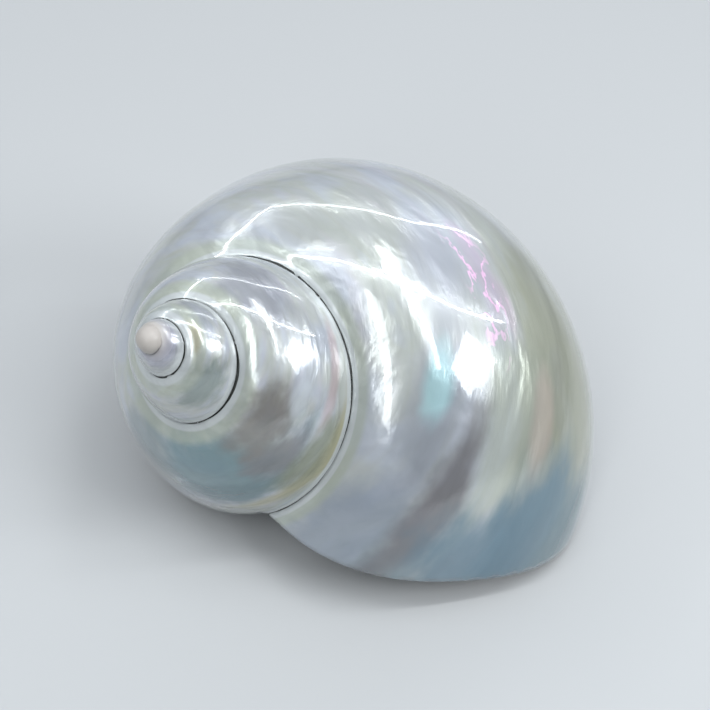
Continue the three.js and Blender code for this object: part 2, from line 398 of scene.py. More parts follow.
outer = np.full((LAST_COLUMN + 1, LAST_ROW + 1), -1)
for column in range(LAST_COLUMN, -1, -1):
    shared = column + COLUMNS <= LAST_COLUMN
    last = LAST_ROW if column >= MOUTH_COLUMN else ROWS_SHOWN
    own = np.array([row for row in range(last + 1) if not (shared and row == ROWS_SHOWN)])
    share = np.where(own <= ROWS_SHOWN, SHOWN_SHARE[np.minimum(own, ROWS_SHOWN)],
                     1 + BASE_SHARE[np.maximum(own - ROWS_SHOWN, 0)])
    carved = chart(grid_angle[column, own], grid_r[column, own], grid_z[column, own])
    outer[column, own] = add_points(
        carved, from_edge[column, own], from_above[column, own],
        grid_angle[column, own] / TURN + share)
    if shared:
        outer[column, ROWS_SHOWN] = outer[column + COLUMNS, 0]
print("the outside has", int(outer.max()) + 1, "points")

# %% Join the lines of points with faces
faces = []


def strip(line_a, line_b):
    """Joins two lines of points that run the same way; a shared point adds no face."""
    a = b = 0
    while a < len(line_a) - 1 or b < len(line_b) - 1:
        ahead_a, ahead_b = (a + 1) / (len(line_a) - 1), (b + 1) / (len(line_b) - 1)
        if len(line_a) == len(line_b):
            corners = [line_a[a], line_b[b], line_b[b + 1], line_a[a + 1]]
            a, b = a + 1, b + 1
        elif b == len(line_b) - 1 or (a < len(line_a) - 1 and ahead_a <= ahead_b):
            corners = [line_a[a], line_b[b], line_a[a + 1]]
            a += 1
        else:
            corners = [line_a[a], line_b[b], line_b[b + 1]]
            b += 1
        corners = [c for i, c in enumerate(corners) if c != corners[i - 1]]
        if len(corners) >= 3:
            faces.append(corners)


for column in range(LAST_COLUMN):
    last = LAST_ROW if column >= MOUTH_COLUMN else ROWS_SHOWN
    strip(outer[column, :last + 1].tolist(), outer[column + 1, :last + 1].tolist())
print("the outside has", len(faces), "faces")

# %% [markdown]
# ## The tip
# The first turn starts from a tiny ball, the nucleus. Rings of points run from the first turn's
# suture up to the pole, and the tree below pushes everything inside the ball out to its surface,
# so the ball and the first turn stay one skin.

# %% Close the tip
TIP_RINGS = 12
POLE_DEPTH = RULE["Nucleus Depth"] - 1.0     # a point well inside the ball
start_line = outer[:COLUMNS, 0].tolist()
start_angle = grid_angle[:COLUMNS, 0]
pole = add_points(chart(np.array([start_angle[0]]), 0.0, POLE_DEPTH), turns=TIP_TURNS)[0]
rings = []
for ring in range(1, TIP_RINGS):
    share = ring / TIP_RINGS
    depth = grid_z[:COLUMNS, 0] * (1 - share) + POLE_DEPTH * share
    ring_chart = chart(start_angle, grid_r[:COLUMNS, 0] * (1 - share), depth)
    rings.append(add_points(ring_chart, turns=TIP_TURNS).tolist())
meridian = [start_line[0]] + [ring[0] for ring in rings] + [pole]
for column in range(COLUMNS - 1):
    left = [start_line[column]] + [ring[column] for ring in rings] + [pole]
    right = [start_line[column + 1]] + [ring[column + 1] for ring in rings] + [pole]
    strip(right, left)
last_line = [start_line[-1]] + [ring[-1] for ring in rings] + [pole]
strip(outer[0, ROWS_SHOWN:0:-1].tolist() + meridian, last_line)
print("the tip has", TIP_RINGS, "rings")

# %% Line the hollow from the lip inwards
RIM_RINGS = 5


def rim_ring(share):
    """Rings that carry the outside over the lip's rounded edge to the inside."""
    outside, inside = ring_at(LIP_ANGLE, inner=False), ring_at(LIP_ANGLE)
    ring = outside + (inside - outside) * share
    swell = np.zeros(len(ring))
    swell[:len(RING_ROWS)] = WALL["lip"] * 0.35 * math.sin(math.pi * share)
    ring[:, 0] += swell / np.maximum(ring[:, 1], 4.0)
    return ring


lip_line = outer[LAST_COLUMN].tolist()
navel_line = outer[LAST_COLUMN:MOUTH_COLUMN - 1:-1, LAST_ROW].tolist()
inner_lip_line = outer[MOUTH_COLUMN, LAST_ROW:ROWS_SHOWN - 1:-1].tolist()
outside_loop = []
for step in range(RIM_RINGS):
    share = (1 - math.cos(math.pi * (step + 0.6) / RIM_RINGS)) / 2
    loop = add_points(rim_ring(share), hollow=share).tolist()
    if step == 0:
        corner, far_corner = len(RING_ROWS) - 1, len(RING_ROWS) - 1 + PILLAR_ROWS
        strip(lip_line, loop[:corner + 1])
        strip(navel_line, loop[corner:far_corner + 1])
        strip(inner_lip_line, loop[far_corner:] + loop[:1])
    else:
        strip(outside_loop + outside_loop[:1], loop + loop[:1])
    outside_loop = loop
deepest = LIP_ANGLE - CAVITY_TURNS * TURN
END_TURN = 0.3 * TURN
for straight in np.arange(LIP_ANGLE, deepest, -2 * STEP):
    ring = ring_at(straight)
    narrow = math.sqrt(1 - (1 - min(1, (straight - deepest) / END_TURN)) ** 2)
    middle = ring.mean(axis=0)
    loop = add_points(middle + (ring - middle) * narrow, hollow=1.0).tolist()
    strip(outside_loop + outside_loop[:1], loop + loop[:1])
    outside_loop = loop
end = add_points(ring_at(deepest).mean(axis=0)[None], hollow=1.0)[0]
faces += [[outside_loop[i - 1], end, outside_loop[i]] for i in range(len(outside_loop))]
print("the closed mesh has", len(faces), "faces")

# %% Turn the chart into angle, direction and depth under the surface
all_rows = np.concatenate(chart_rows)
angle, r, z = all_rows.T
middle_r, middle_z = centre(angle)
facing = np.arctan2(z - middle_z, r - middle_r)
inset = section_radius(angle, facing) - np.hypot(r - middle_r, z - middle_z)
edge, ramp = np.concatenate(edge_mm), np.concatenate(ramp_mm)
turns_grown = np.concatenate(grown_turns)
grain = np.stack([np.cos(angle), np.sin(angle), turns_grown], axis=-1)


def chart_mesh():
    mesh = bpy.data.meshes.new("shell_chart")
    mesh.from_pydata(np.stack([angle, facing, inset], axis=-1).tolist(), [], faces)
    for name, values in (("suture_mm", edge), ("ramp_mm", ramp),
                         ("hollow", np.concatenate(hollow_share))):
        mesh.attributes.new(name, "FLOAT", "POINT").data.foreach_set("value", values.astype(np.float32))
    vectors = mesh.attributes.new("grain", "FLOAT_VECTOR", "POINT")
    vectors.data.foreach_set("vector", grain.astype(np.float32).ravel())
    return mesh


shell = bpy.data.objects.new("turban_shell", chart_mesh())
bpy.context.scene.collection.objects.link(shell)
print("the chart has", len(shell.data.vertices), "points and", len(shell.data.polygons), "faces")

# %% [markdown]
# ## The growth rule as Geometry Nodes
# The tree takes the chart and grows the shell from it. Every size of the rule is a named input, so
# a flatter spire or a wider mouth is one number away. It could be a spiral curve with a swept
# circle, but a sweep can't lean each turn on the turn before, and its section can't be a pear.

# %% One helper that adds a node
def add(tree, kind, inputs=(), output=0, **settings):
    """Adds a node, sets its settings, links or sets its inputs, and returns one of its outputs."""
    node = tree.nodes.new(kind)
    for name, value in settings.items():
        setattr(node, name, value)
    pairs = inputs.items() if isinstance(inputs, dict) else enumerate(inputs)
    for key, value in pairs:
        if isinstance(value, bpy.types.NodeSocket):
            tree.links.new(value, node.inputs[key])
        else:
            node.inputs[key].default_value = value
    return node.outputs[output] if node.outputs else node


# %% Start the tree and name its inputs
RELIEF = {"Swell": 0.16, "Ripple": 0.035, "Seed": 7.0}     # millimetres on the last turn, and a seed
grow = bpy.data.node_groups.new("grow_shell", "GeometryNodeTree")
grow.is_modifier = True
grow.interface.new_socket("Geometry", in_out="OUTPUT", socket_type="NodeSocketGeometry")
grow.interface.new_socket("Geometry", in_out="INPUT", socket_type="NodeSocketGeometry")
for name in (*RULE, *RELIEF):
    grow.interface.new_socket(name, in_out="INPUT", socket_type="NodeSocketFloat")
grow.interface.new_socket("Stand", in_out="INPUT", socket_type="NodeSocketVector")
grow.interface.new_socket("Material", in_out="INPUT", socket_type="NodeSocketMaterial")
source = grow.nodes.new("NodeGroupInput").outputs
position = add(grow, "GeometryNodeInputPosition")
parts = grow.nodes.new("ShaderNodeSeparateXYZ")
grow.links.new(position, parts.inputs[0])
angle_in, facing_in, inset_in = parts.outputs
print("the tree has", len(source) - 1, "inputs")

# %% Growth: how large the section is at this angle, and where its middle lies
MATH = "ShaderNodeMath"
turns = add(grow, MATH, [angle_in, TURN], operation="DIVIDE")
steady = add(grow, MATH, [turns, source["Growth"]], operation="MULTIPLY")
turns_squared = add(grow, MATH, [turns, turns], operation="MULTIPLY")
exponent = add(grow, MATH, [turns_squared, source["Growth Rise"], steady], operation="MULTIPLY_ADD")
grown = add(grow, MATH, [exponent], operation="EXPONENT")
axis_to_middle = add(grow, MATH, [grown, source["Coil Radius"]], operation="MULTIPLY")
dropped = add(grow, MATH, [grown, source["Drop Power"]], operation="POWER")
drop = add(grow, MATH, [dropped, source["Coil Drop"]], operation="MULTIPLY")
past = add(grow, MATH, [angle_in, source["Lip Climb From"]], operation="SUBTRACT")
late = add(grow, MATH, [past, 0.0], operation="MAXIMUM")
late_squared = add(grow, MATH, [late, late], operation="MULTIPLY")
climb = add(grow, MATH, [late_squared, source["Lip Climb"]], operation="MULTIPLY")
tip_to_middle = add(grow, MATH, [drop, climb], operation="SUBTRACT")

# %% The section: an oval with a slight pear shape, less the depth under the surface
from_oval = add(grow, MATH, [facing_in, source["Oval Direction"]], operation="SUBTRACT")
oval_lobes = add(grow, MATH, [from_oval, 2.0], operation="MULTIPLY")
oval_wave = add(grow, MATH, [oval_lobes], operation="COSINE")
from_pear = add(grow, MATH, [facing_in, source["Pear Direction"]], operation="SUBTRACT")
pear_lobes = add(grow, MATH, [from_pear, 3.0], operation="MULTIPLY")
pear_wave = add(grow, MATH, [pear_lobes], operation="COSINE")
oval_shape = add(grow, MATH, [oval_wave, source["Oval"], 1.0], operation="MULTIPLY_ADD")
shape = add(grow, MATH, [pear_wave, source["Pear"], oval_shape], operation="MULTIPLY_ADD")
tube = add(grow, MATH, [grown, source["Tube Radius"]], operation="MULTIPLY")
full_radius = add(grow, MATH, [tube, shape], operation="MULTIPLY")

# %% Swells and ripples: the slightly uneven skin that hand polishing leaves
grain_in = add(grow, "GeometryNodeInputNamedAttribute", {"Name": "grain"}, data_type="FLOAT_VECTOR")
hollow_in = add(grow, "GeometryNodeInputNamedAttribute", {"Name": "hollow"}, data_type="FLOAT")
broad = add(grow, "ShaderNodeTexNoise",
            {"Vector": grain_in, "W": source["Seed"], "Scale": 2.2, "Detail": 1.0},
            noise_dimensions="4D")
# Ripples run along the tube: the grain is squeezed round it, so they stretch that way.
squeezed = add(grow, "ShaderNodeVectorMath", [grain_in, (1.6, 1.6, 17.0)], operation="MULTIPLY")
fine = add(grow, "ShaderNodeTexNoise",
           {"Vector": squeezed, "W": source["Seed"], "Scale": 1.0, "Detail": 2.0},
           noise_dimensions="4D")
broad_wave = add(grow, MATH, [broad, 0.5], operation="SUBTRACT")
fine_wave = add(grow, MATH, [fine, 0.5], operation="SUBTRACT")
ripple = add(grow, MATH, [fine_wave, source["Ripple"]], operation="MULTIPLY")
uneven = add(grow, MATH, [broad_wave, source["Swell"], ripple], operation="MULTIPLY_ADD")
skin_size = add(grow, MATH, [grown, 1.0], operation="MINIMUM")
outside_only = add(grow, MATH, [1.0, hollow_in], operation="SUBTRACT")
skin_share = add(grow, MATH, [skin_size, outside_only], operation="MULTIPLY")
swollen = add(grow, MATH, [uneven, skin_share, full_radius], operation="MULTIPLY_ADD")
radius = add(grow, MATH, [swollen, inset_in], operation="SUBTRACT")

# %% Round the axis: from the section plane to the shell's own frame, tip at the origin
across = add(grow, MATH, [facing_in], operation="COSINE")
down = add(grow, MATH, [facing_in], operation="SINE")
reach = add(grow, MATH, [radius, across, axis_to_middle], operation="MULTIPLY_ADD")
depth = add(grow, MATH, [radius, down, tip_to_middle], operation="MULTIPLY_ADD")
depth_squared = add(grow, MATH, [depth, depth], operation="MULTIPLY")
turn_cosine = add(grow, MATH, [angle_in], operation="COSINE")
turn_sine = add(grow, MATH, [angle_in], operation="SINE")
straight_x = add(grow, MATH, [reach, turn_cosine], operation="MULTIPLY")
bent_x = add(grow, MATH, [depth_squared, source["Bend X"], straight_x], operation="MULTIPLY_ADD")
minus_y = add(grow, MATH, [reach, turn_sine], operation="MULTIPLY")
leaning = add(grow, MATH, [depth, source["Lean"]], operation="MULTIPLY")
bent = add(grow, MATH, [depth_squared, source["Bend Y"], leaning], operation="MULTIPLY_ADD")
bent_y = add(grow, MATH, [bent, minus_y], operation="SUBTRACT")
upwards = add(grow, MATH, [depth, -1.0], operation="MULTIPLY")
coiled = add(grow, "ShaderNodeCombineXYZ", [bent_x, bent_y, upwards])

# %% The nucleus: whatever lies inside the ball at the tip is pushed out to its surface
ball_drop = add(grow, MATH, [source["Nucleus Depth"], -1.0], operation="MULTIPLY")
ball_lean = add(grow, MATH, [source["Nucleus Depth"], source["Lean"]], operation="MULTIPLY")
ball_centre = add(grow, "ShaderNodeCombineXYZ", [0.0, ball_lean, ball_drop])
from_ball = add(grow, "ShaderNodeVectorMath", [coiled, ball_centre], operation="SUBTRACT")
ball_distance = add(grow, "ShaderNodeVectorMath", [from_ball], output=1, operation="LENGTH")
pushed = add(grow, MATH, [ball_distance, source["Nucleus Radius"], 0.12], operation="SMOOTH_MAX")
push = add(grow, MATH, [pushed, ball_distance], operation="DIVIDE")
pushed_out = add(grow, "ShaderNodeVectorMath", {0: from_ball, "Scale": push}, operation="SCALE")
with_ball = add(grow, "ShaderNodeVectorMath", [pushed_out, ball_centre], operation="ADD")

# %% Stand it up, in metres, and finish the tree
stood = add(grow, "ShaderNodeVectorRotate", {"Vector": with_ball, "Rotation": source["Stand"]},
            rotation_type="EULER_XYZ")
in_metres = add(grow, "ShaderNodeVectorMath", {0: stood, "Scale": MM}, operation="SCALE")
placed = add(grow, "GeometryNodeSetPosition", {"Geometry": source["Geometry"], "Position": in_metres})
shaded = add(grow, "GeometryNodeSetShadeSmooth", {"Geometry": placed})
realized = add(grow, "GeometryNodeRealizeInstances", {"Geometry": shaded})
coated = add(grow, "GeometryNodeSetMaterial", {"Geometry": realized, "Material": source["Material"]})
result = grow.nodes.new("NodeGroupOutput")
grow.links.new(coated, result.inputs[0])
print("the tree has", len(grow.nodes), "nodes")

# %% [markdown]
# ## Polished mother-of-pearl
# Mother-of-pearl is thousands of clear plates of aragonite, each about half a micron thick, with
# films of protein between them. Light comes back from many depths at once: a soft silvery glow
# that shifts between pink, green and gold, under a surface as sharp as lacquer. Here the glow is a
# partly metallic base with broad highlights, its colours change along the growth of the shell, and
# the polish is a clear coat with almost no roughness.

# %% Colours
def linear(sheen_hex, alpha=1.0):
    """An sRGB hex colour such as d8d4c8, as the linear colour Blender's nodes take."""
    parts = [int(sheen_hex[i:i + 2], 16) / 255 for i in (0, 2, 4)]
    return (*[c / 12.92 if c <= 0.04045 else ((c + 0.055) / 1.055) ** 2.4 for c in parts], alpha)


def set_stops(node, stops):
    """Gives a colour ramp node its stops: a list of (position, colour)."""
    ramp = node.color_ramp
    while len(ramp.elements) < len(stops):
        ramp.elements.new(0.5)
    for element, (place_on_ramp, colour) in zip(ramp.elements, stops):
        element.position, element.color = place_on_ramp, colour


SILVER, CREAM, ROSE, MOSS = "b5bac1", "b6b9b7", "bdacbc", "aab1a0"
STEEL, GOLD, TAN, CRACK = "607b8a", "a5a07a", "b3aca5", "22251f"
PALE, TAUPE, LILAC, OCHRE = "c0c4c4", "767273", "b1b4bb", "94794c"
print("silver in linear light is", [round(c, 3) for c in linear(SILVER)])

# %% [markdown]
# The colour of real mother-of-pearl depends on how the plates lie, and that changes slowly along
# the growth of the shell. So the colours are laid out in growth coordinates, not in space: a point
# round the axis together with the number of turns grown. Broad noise gives the drift, stretched
# noise gives the streaks, and a few named clouds give the places where one colour gathers. Some
# clouds are painted shade, darker where the shell lies in shade, and some are painted highlights.

# %% Clouds of colour, painted shade and painted highlights
# Each cloud: where along the tube in turns, how far from the upper suture to the next one, its
# half length in turns and half width in shares, its colour and its strength.
CLOUDS_AND_PAINTED_LIGHT = [
    {"turn": 0.00, "share": 0.82, "long": 0.10, "wide": 0.24, "colour": "939581", "strength": 0.8},
    {"turn": 0.03, "share": 0.55, "long": 0.06, "wide": 0.15, "colour": "acb2a4", "strength": 0.6},
    {"turn": 0.15, "share": 0.15, "long": 0.06, "wide": 0.12, "colour": "8b94a0", "strength": 0.8},
    {"turn": 0.145, "share": 0.30, "long": 0.04, "wide": 0.10, "colour": "74828a", "strength": 0.75},
    {"turn": 0.025, "share": 0.25, "long": 0.06, "wide": 0.10, "colour": "8d9298", "strength": 0.7},
    {"turn": 0.09, "share": 0.33, "long": 0.08, "wide": 0.065, "colour": "6b6769", "strength": 0.8},
    {"turn": 0.09, "share": 0.74, "long": 0.05, "wide": 0.20, "colour": STEEL, "strength": 0.9},
    {"turn": 0.12, "share": 0.54, "long": 0.045, "wide": 0.21, "colour": STEEL, "strength": 0.85},
    {"turn": 0.02, "share": 0.70, "long": 0.03, "wide": 0.05, "colour": "bfa9a0", "strength": 0.4},
    # Painted highlight: these two pink clouds tint the place where the highlight and its pink glints
    # fall.
    {"turn": -0.08, "share": 0.61, "long": 0.035, "wide": 0.045, "colour": "cdb2cb", "strength": 0.35},
    {"turn": -0.05, "share": 0.64, "long": 0.02, "wide": 0.03, "colour": "cdb2cb", "strength": 0.3},
    {"turn": -0.08, "share": 0.42, "long": 0.05, "wide": 0.14, "colour": LILAC, "strength": 0.6},
    {"turn": 0.004, "share": 0.27, "long": 0.03, "wide": 0.05, "colour": "a3cfd2", "strength": 0.6},
    {"turn": -0.78, "share": 0.38, "long": 0.12, "wide": 0.30, "colour": "5f8088", "strength": 0.85},
    {"turn": -0.86, "share": 0.50, "long": 0.05, "wide": 0.15, "colour": TAUPE, "strength": 0.75},
    {"turn": -0.87, "share": 0.86, "long": 0.10, "wide": 0.07, "colour": GOLD, "strength": 0.85},
    {"turn": -0.99, "share": 0.80, "long": 0.07, "wide": 0.05, "colour": "b5a0a1", "strength": 0.6},
    {"turn": -0.89, "share": 0.28, "long": 0.07, "wide": 0.16, "colour": "7d7872", "strength": 0.8},
    {"turn": -0.88, "share": 0.76, "long": 0.06, "wide": 0.10, "colour": "747a62", "strength": 0.8},
    {"turn": -1.14, "share": 0.42, "long": 0.08, "wide": 0.28, "colour": "8f9198", "strength": 0.8},
    {"turn": -2.03, "share": 0.18, "long": 0.07, "wide": 0.10, "colour": OCHRE, "strength": 0.85},
    {"turn": -2.15, "share": 0.62, "long": 0.07, "wide": 0.25, "colour": "93989c", "strength": 0.8},
    {"turn": -2.90, "share": 0.30, "long": 0.25, "wide": 0.50, "colour": "9d9dab", "strength": 0.8},
    {"turn": 0.085, "share": 0.94, "long": 0.04, "wide": 0.12, "colour": "6f8288", "strength": 0.8},
    # Painted shade: the next two clouds darken the shell's lower left edge, where shade falls.
    {"turn": -0.64, "share": 0.25, "long": 0.05, "wide": 0.20, "colour": "7e8a8d", "strength": 0.7},
    {"turn": -0.76, "share": 0.58, "long": 0.06, "wide": 0.12, "colour": "58737a", "strength": 0.8},
    # A painted highlight: a small light patch painted where a highlight falls.
    {"turn": -0.95, "share": 0.48, "long": 0.025, "wide": 0.08, "colour": "ccd2d8", "strength": 0.6},
    {"turn": -1.87, "share": 0.46, "long": 0.09, "wide": 0.28, "colour": "7e8a86", "strength": 0.85},
]

# The region in which thin pink glints are painted into the base colour: painted highlights.
PAINTED_GLINTS = {"turn": -0.07, "share": 0.58, "long": 0.04, "wide": 0.08,
          "colour": "f6c9e9", "strength": 1.0}
print("clouds of colour:", len(CLOUDS_AND_PAINTED_LIGHT))


def cloud_share(tree, grain, ragged, cloud):
    """How much of one soft-edged cloud there is at a point, in growth coordinates."""
    around = cloud["turn"] * TURN
    middle = (math.cos(around), math.sin(around), cloud["turn"] + cloud["share"])
    long = 1 / (cloud["long"] * TURN)
    away = add(tree, "ShaderNodeVectorMath", [grain, middle], operation="SUBTRACT")
    stretch = (long, long, 1 / cloud["wide"])
    scaled = add(tree, "ShaderNodeVectorMath", [away, stretch], operation="MULTIPLY")
    distance = add(tree, "ShaderNodeVectorMath", [scaled], output="Value", operation="LENGTH")
    torn = add(tree, "ShaderNodeMath", [distance, ragged], operation="ADD")
    return add(tree, "ShaderNodeMapRange", {0: torn, 1: 1.45, 2: 0.55, 3: 0.0, 4: cloud["strength"]},
               interpolation_type="SMOOTHSTEP")


def cloud_over(tree, under, grain, ragged, cloud):
    """Lays one cloud of colour over another colour."""
    share = cloud_share(tree, grain, ragged, cloud)
    return add(tree, "ShaderNodeMix", {0: share, 6: under, 7: linear(cloud["colour"])},
               output=2, data_type="RGBA")


# %% Polished nacre: where a point lies
nacre = bpy.data.materials.new("polished_nacre")
nacre.use_nodes = True
tree = nacre.node_tree
tree.nodes.clear()
grain_at = add(tree, "ShaderNodeAttribute", attribute_name="grain", output="Vector")
suture_at = add(tree, "ShaderNodeAttribute", attribute_name="suture_mm", output="Fac")
ramp_at = add(tree, "ShaderNodeAttribute", attribute_name="ramp_mm", output="Fac")
place_at = add(tree, "ShaderNodeTexCoord", output="Object")
growth_at = add(tree, "ShaderNodeSeparateXYZ", [grain_at], output=2)

# %% Polished nacre: drift, streaks and clouds
zone_place = add(tree, "ShaderNodeVectorMath", [grain_at, (1.1, 1.1, 3.4)], operation="MULTIPLY")
zones = add(tree, "ShaderNodeTexNoise", {"Vector": zone_place, "Scale": 1.0, "Detail": 3.0,
                                         "Roughness": 0.55, "Distortion": 0.6})
zone_colour = add(tree, "ShaderNodeValToRGB", [zones])
set_stops(zone_colour.node, [(0.30, linear(LILAC)), (0.42, linear(SILVER)), (0.52, linear(CREAM)),
                             (0.60, linear("b3b7b0")), (0.70, linear(SILVER))])
# Streaks of rose and gold, long and thin, where the plates lie at a steeper angle.
streak_place = add(tree, "ShaderNodeVectorMath", [grain_at, (1.8, 1.8, 18.0)], operation="MULTIPLY")
streaks = add(tree, "ShaderNodeTexNoise", {"Vector": streak_place, "Scale": 1.0, "Detail": 2.0,
                                           "Roughness": 0.5, "Distortion": 0.5})
rose_share = add(tree, "ShaderNodeMapRange", {0: streaks, 1: 0.52, 2: 0.74, 3: 0.0, 4: 0.14})
with_rose = add(tree, "ShaderNodeMix", {0: rose_share, 6: zone_colour, 7: linear(ROSE)},
                output=2, data_type="RGBA")
gold_share = add(tree, "ShaderNodeMapRange", {0: streaks, 1: 0.42, 2: 0.26, 3: 0.0, 4: 0.12})
colour = add(tree, "ShaderNodeMix", {0: gold_share, 6: with_rose, 7: linear(GOLD)},
             output=2, data_type="RGBA")
tear_place = add(tree, "ShaderNodeVectorMath", [grain_at, (3.5, 3.5, 9.0)], operation="MULTIPLY")
tear = add(tree, "ShaderNodeTexNoise", {"Vector": tear_place, "Scale": 1.0, "Detail": 3.0})
ragged = add(tree, "ShaderNodeMapRange", {0: tear, 1: 0.25, 2: 0.75, 3: -0.3, 4: 0.3})
for cloud in CLOUDS_AND_PAINTED_LIGHT:
    colour = cloud_over(tree, colour, grain_at, ragged, cloud)
# Painted highlights: thin jagged glints of pink, painted into the base colour where the edge of a plate
# catches the light, along the level line of a noise.
level_place = add(tree, "ShaderNodeVectorMath", [grain_at, (5.0, 5.0, 11.0)], operation="MULTIPLY")
level = add(tree, "ShaderNodeTexNoise", {"Vector": level_place, "Scale": 1.0, "Detail": 4.0})
off_level = add(tree, "ShaderNodeMath", [level, 0.5], operation="SUBTRACT")
level_distance = add(tree, "ShaderNodeMath", [off_level], operation="ABSOLUTE")
painted_glint_region = cloud_share(tree, grain_at, ragged, PAINTED_GLINTS)
painted_glint_share = add(tree, "ShaderNodeMapRange",
                  {0: level_distance, 1: 0.03, 2: 0.008, 3: 0.0, 4: painted_glint_region})
colour = add(tree, "ShaderNodeMix", {0: painted_glint_share, 6: colour, 7: linear(PAINTED_GLINTS["colour"])},
             output=2, data_type="RGBA")

# %% Polished nacre: ramp, pale bands, worn tip and the dark crack
mossy = add(tree, "ShaderNodeMapRange", {0: growth_at, 1: -2.5, 2: -1.9, 3: 0.0, 4: 0.6})
ramp_share = add(tree, "ShaderNodeMapRange", {0: ramp_at, 1: 3.0, 2: 2.2, 3: 0.0, 4: mossy})
with_ramp = add(tree, "ShaderNodeMix", {0: ramp_share, 6: colour, 7: linear(MOSS)},
                output=2, data_type="RGBA")
banded = add(tree, "ShaderNodeMapRange", {0: growth_at, 1: -2.6, 2: -2.1, 3: 0.0, 4: 0.9})
pale_share = add(tree, "ShaderNodeMapRange", {0: suture_at, 1: 1.2, 2: 0.95, 3: 0.0, 4: banded})
with_pale = add(tree, "ShaderNodeMix", {0: pale_share, 6: with_ramp, 7: linear(PALE)},
                output=2, data_type="RGBA")
tip_share = add(tree, "ShaderNodeMapRange", {0: growth_at, 1: -2.5, 2: -3.1, 3: 0.0, 4: 1.0})
with_tip = add(tree, "ShaderNodeMix", {0: tip_share, 6: with_pale, 7: linear(TAN)},
               output=2, data_type="RGBA")
# Dirt stays in the crack. It wanders a little to both sides, jumps in places, and its width varies.
older_side = add(tree, "ShaderNodeMath", [ramp_at, suture_at], operation="SUBTRACT")
on_older = add(tree, "ShaderNodeMath", [older_side, 0.01], operation="GREATER_THAN")
side = add(tree, "ShaderNodeMapRange", {0: on_older, 3: 1.0, 4: -1.0})
signed = add(tree, "ShaderNodeMath", [suture_at, side], operation="MULTIPLY")
wander_noise = add(tree, "ShaderNodeTexNoise", {"Vector": place_at, "Scale": 130.0, "Detail": 4.0})
wander = add(tree, "ShaderNodeMapRange", {0: wander_noise, 1: 0.3, 2: 0.7, 3: -0.16, 4: 0.16})
jump_noise = add(tree, "ShaderNodeTexNoise", {"Vector": place_at, "Scale": 520.0, "Detail": 1.0})
jump = add(tree, "ShaderNodeMapRange", {0: jump_noise, 1: 0.66, 2: 0.74, 3: 0.0, 4: -0.45})
off_line = add(tree, "ShaderNodeMath", [wander, jump], operation="ADD")
from_crack = add(tree, "ShaderNodeMath", [signed, off_line], operation="SUBTRACT")
crack_distance = add(tree, "ShaderNodeMath", [from_crack], operation="ABSOLUTE")
crack_noise = add(tree, "ShaderNodeTexNoise", {"Vector": place_at, "Scale": 120.0, "Detail": 4.0})
crack_width = add(tree, "ShaderNodeMapRange", {0: crack_noise, 1: 0.35, 2: 0.65, 3: 0.09, 4: 0.16})
crack_end = add(tree, "ShaderNodeMath", [crack_width, 0.06], operation="ADD")
dirt = add(tree, "ShaderNodeMapRange", {0: growth_at, 1: -3.1, 2: -2.7, 3: 0.0, 4: 1.0})
crack_share = add(tree, "ShaderNodeMapRange",
                  {0: crack_distance, 1: crack_end, 2: crack_width, 3: 0.0, 4: dirt})
coloured = add(tree, "ShaderNodeMix", {0: crack_share, 6: with_tip, 7: linear(CRACK)},
               output=2, data_type="RGBA")

# %% Polished nacre: the glow under the polish
# The plates are wavy, a few millimetres from wave to wave and stretched along the tube, so the
# glow breaks up into bright patches while the polish above it stays smooth.
wave_place = add(tree, "ShaderNodeVectorMath", [grain_at, (2.6, 2.6, 8.0)], operation="MULTIPLY")
waves = add(tree, "ShaderNodeTexNoise", {"Vector": wave_place, "Scale": 1.0, "Detail": 2.6,
                                         "Roughness": 0.45, "Distortion": 0.4})
under_polish = add(tree, "ShaderNodeMapRange", {0: streaks, 1: 0.3, 2: 0.7, 3: 0.22, 4: 0.27})
glow = add(tree, "ShaderNodeMapRange", {0: waves, 1: 0.35, 2: 0.65, 3: 0.20, 4: 0.36})
clean = add(tree, "ShaderNodeMath", [1.0, crack_share], operation="SUBTRACT")
clean_glow = add(tree, "ShaderNodeMath", [glow, clean], operation="MULTIPLY")
worn = add(tree, "ShaderNodeMath", [1.0, tip_share], operation="SUBTRACT")
metallic = add(tree, "ShaderNodeMath", [clean_glow, worn], operation="MULTIPLY")
# The plates grow in scale with the shell, and the older turns are the smoother ones.
scale_power = add(tree, "ShaderNodeMath", [3.6, growth_at], operation="POWER")
plate_scale = add(tree, "ShaderNodeMath", [scale_power, 1.0], operation="MINIMUM")
wave_height = add(tree, "ShaderNodeMath", [plate_scale, 0.0004], operation="MULTIPLY")
wrinkle_height = add(tree, "ShaderNodeMath", [plate_scale, 0.00002], operation="MULTIPLY")
wave_bump = add(tree, "ShaderNodeBump", {"Height": waves, "Strength": 1.0, "Distance": wave_height})
# Wrinkles of the plates, about 0.6 mm apart, and the marks of the polishing wheel.
wrinkle_place = add(tree, "ShaderNodeVectorMath", [grain_at, (9.0, 9.0, 60.0)], operation="MULTIPLY")
wrinkles = add(tree, "ShaderNodeTexNoise", {"Vector": wrinkle_place, "Scale": 1.0, "Detail": 4.0,
                                            "Distortion": 0.8})
glow_bump = add(tree, "ShaderNodeBump", {
    "Height": wrinkles, "Strength": 1.0, "Distance": wrinkle_height, "Normal": wave_bump})
polish_bump = add(tree, "ShaderNodeBump", {
    "Height": wrinkles, "Strength": 0.2, "Distance": wrinkle_height})
# The oldest turns and the nucleus are worn to a dull, almost matt skin.
lacquer = add(tree, "ShaderNodeMapRange", {0: tip_share, 3: 1.0, 4: 0.25})
dull = add(tree, "ShaderNodeMath", [tip_share, 0.25, under_polish], operation="MULTIPLY_ADD")
shader = add(tree, "ShaderNodeBsdfPrincipled", {
    "Base Color": coloured, "Metallic": metallic, "Roughness": dull, "IOR": 1.56,
    "Normal": glow_bump, "Coat Weight": lacquer, "Coat Roughness": 0.03, "Coat IOR": 1.5,
    "Coat Normal": polish_bump})
add(tree, "ShaderNodeOutputMaterial", {"Surface": shader})
print("polished nacre has", len(tree.nodes), "nodes")

